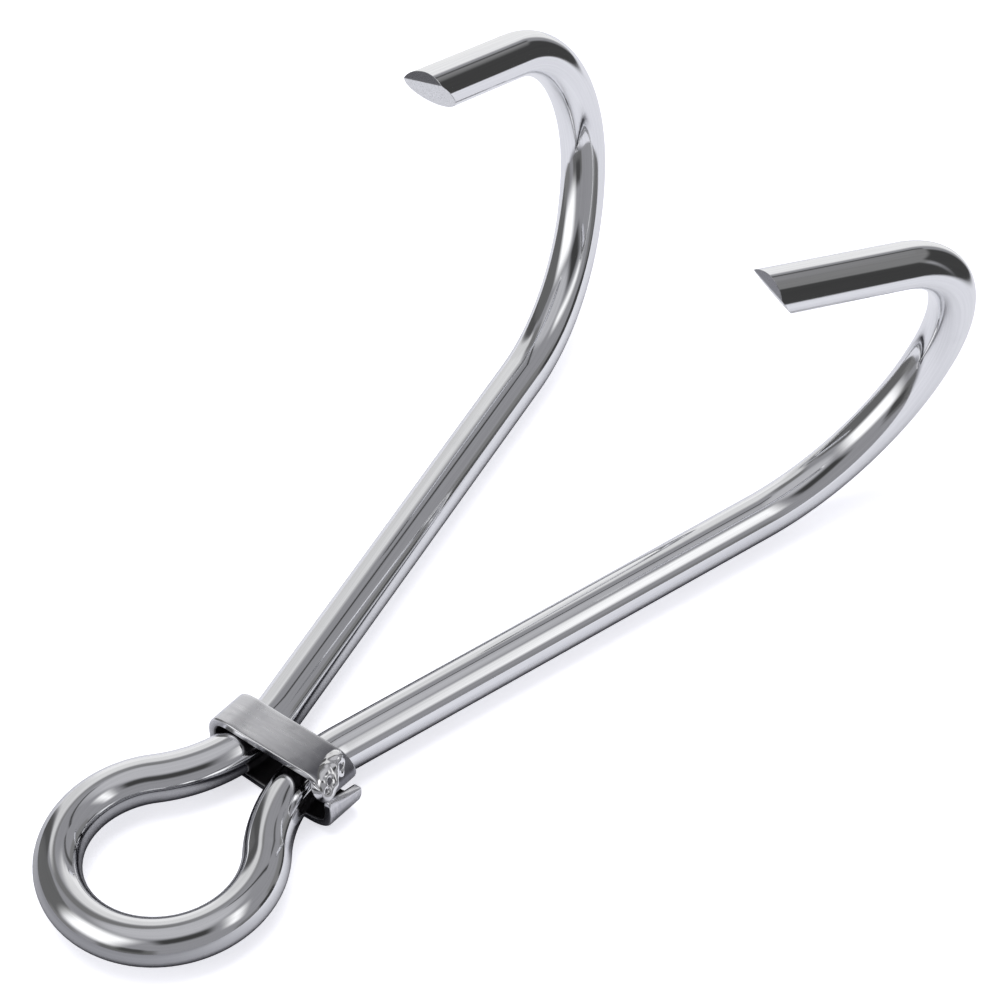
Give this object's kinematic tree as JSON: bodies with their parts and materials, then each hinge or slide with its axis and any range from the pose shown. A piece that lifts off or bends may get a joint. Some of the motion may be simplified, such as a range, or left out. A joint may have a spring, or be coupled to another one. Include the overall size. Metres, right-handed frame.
{
  "type": "two-prong hanging hook",
  "caption": "Two-prong hanging hook of bent wire: an eye, two diverging arms curled back to ground points, and a flat collar that slides on the neck.",
  "frame": {"origin": "centre of the hanging eye, on the wire's middle plane", "axes": "+X from the eye along the middle of the two arms towards the hooks, +Z out of the eye's plane on the side that the hooks rise, +Y towards the left arm"},
  "size_m": [0.1102, 0.0584, 0.0489],
  "materials": {
    "polished_wire": "polished",
    "strap_steel": "satin",
    "weld_bead": "gloss"
  },
  "bodies": {
    "eye": {"eye": "polished_wire"},
    "left_arm": {"left_neck": "polished_wire", "left_shank": "polished_wire", "left_bend": "polished_wire", "left_crook": "polished_wire", "left_prong": "polished_wire"},
    "right_arm": {"right_neck": "polished_wire", "right_shank": "polished_wire", "right_bend": "polished_wire", "right_crook": "polished_wire", "right_prong": "polished_wire"},
    "collar": {"collar_band": "strap_steel", "collar_weld": "weld_bead"}
  },
  "joints": [
    {"name": "collar_slide", "type": "slide", "parent": "eye", "child": "collar", "axis": [1, 0, 0], "range_m": [0, 0.0085]},
    {"name": "left_arm_flex", "type": "hinge", "parent": "eye", "child": "left_arm", "pos_m": [0, 0, 0], "axis": [0, 0, 1], "range_deg": [-3.5, 0]},
    {"name": "right_arm_flex", "type": "hinge", "parent": "eye", "child": "right_arm", "pos_m": [0, 0, 0], "axis": [0, 0, 1], "range_deg": [0, 3.5]}
  ],
  "couplings": [
    {"joint": "left_arm_flex", "follows": "collar_slide", "rad_per_m": -7.18},
    {"joint": "right_arm_flex", "follows": "collar_slide", "rad_per_m": 7.18}
  ]
}
